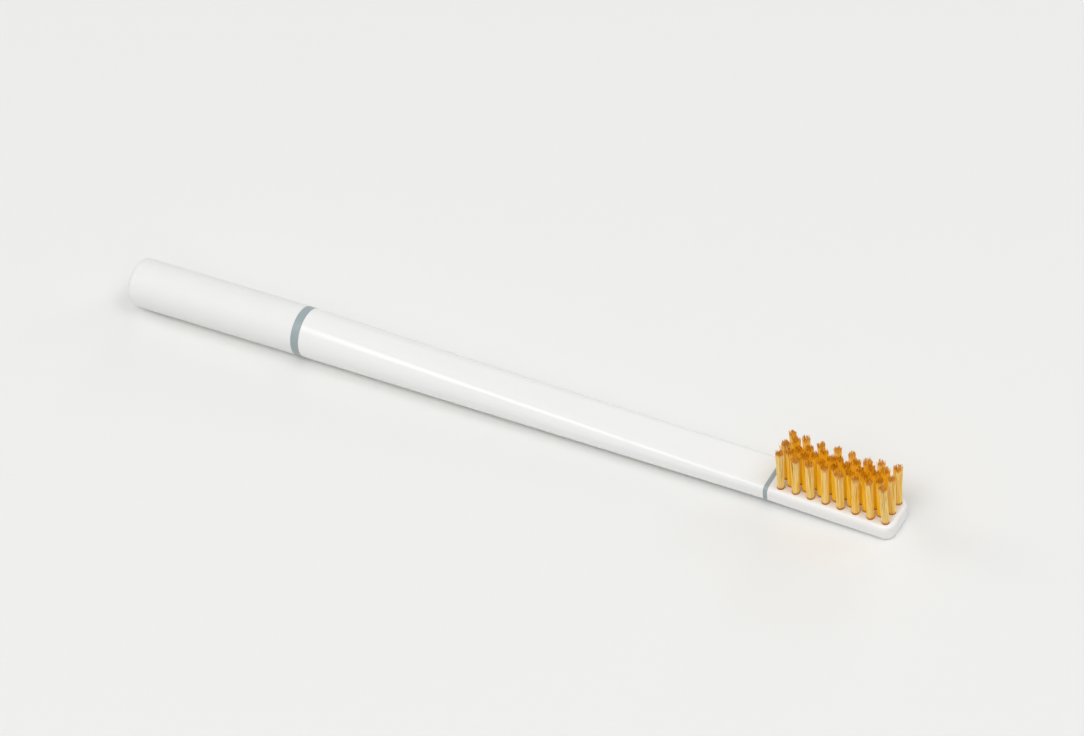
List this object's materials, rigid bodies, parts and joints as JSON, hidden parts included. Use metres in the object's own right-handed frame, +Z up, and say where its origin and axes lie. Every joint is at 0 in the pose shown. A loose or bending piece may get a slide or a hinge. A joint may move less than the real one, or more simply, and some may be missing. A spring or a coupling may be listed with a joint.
{
  "type": "toothbrush",
  "caption": "Slim toothbrush: round butt, handle that flattens into the neck, two grey bands, and a narrow head set with rows of natural bristle tufts.",
  "frame": {"origin": "middle of the bounding box, on the surface that the brush lies on", "axes": "+X from the butt to the tip of the head, +Z up, the way the bristles point"},
  "size_m": [0.1808, 0.0106, 0.0154],
  "materials": {
    "satin_white": "satin moulded white plastic",
    "gloss_white": "polished white plastic",
    "head_white": "white plastic with a soft gloss",
    "grey_band": "satin blue-grey plastic",
    "bristle": "straw-coloured animal bristle, amber between the tufts",
    "anchor_brass": "flat drawn wire"
  },
  "bodies": {
    "root": {"butt": "satin_white", "rear_band": "grey_band", "handle": "gloss_white", "front_band": "grey_band", "head": "head_white", "anchors": "anchor_brass", "tuft_a1": "bristle", "tuft_a2": "bristle", "tuft_a3": "bristle", "tuft_a4": "bristle", "tuft_a5": "bristle", "tuft_a6": "bristle", "tuft_a7": "bristle", "tuft_a8": "bristle", "tuft_b1": "bristle", "tuft_b2": "bristle", "tuft_b3": "bristle", "tuft_b4": "bristle", "tuft_b5": "bristle", "tuft_b6": "bristle", "tuft_b7": "bristle", "tuft_c1": "bristle", "tuft_c2": "bristle", "tuft_c3": "bristle", "tuft_c4": "bristle", "tuft_c5": "bristle", "tuft_c6": "bristle", "tuft_c7": "bristle", "tuft_c8": "bristle", "tuft_d1": "bristle", "tuft_d2": "bristle", "tuft_d3": "bristle", "tuft_d4": "bristle", "tuft_d5": "bristle", "tuft_d6": "bristle", "tuft_d7": "bristle", "tuft_e1": "bristle", "tuft_e2": "bristle", "tuft_e3": "bristle", "tuft_e4": "bristle", "tuft_e5": "bristle", "tuft_e6": "bristle", "tuft_e7": "bristle", "tuft_e8": "bristle"}
  },
  "joints": []
}
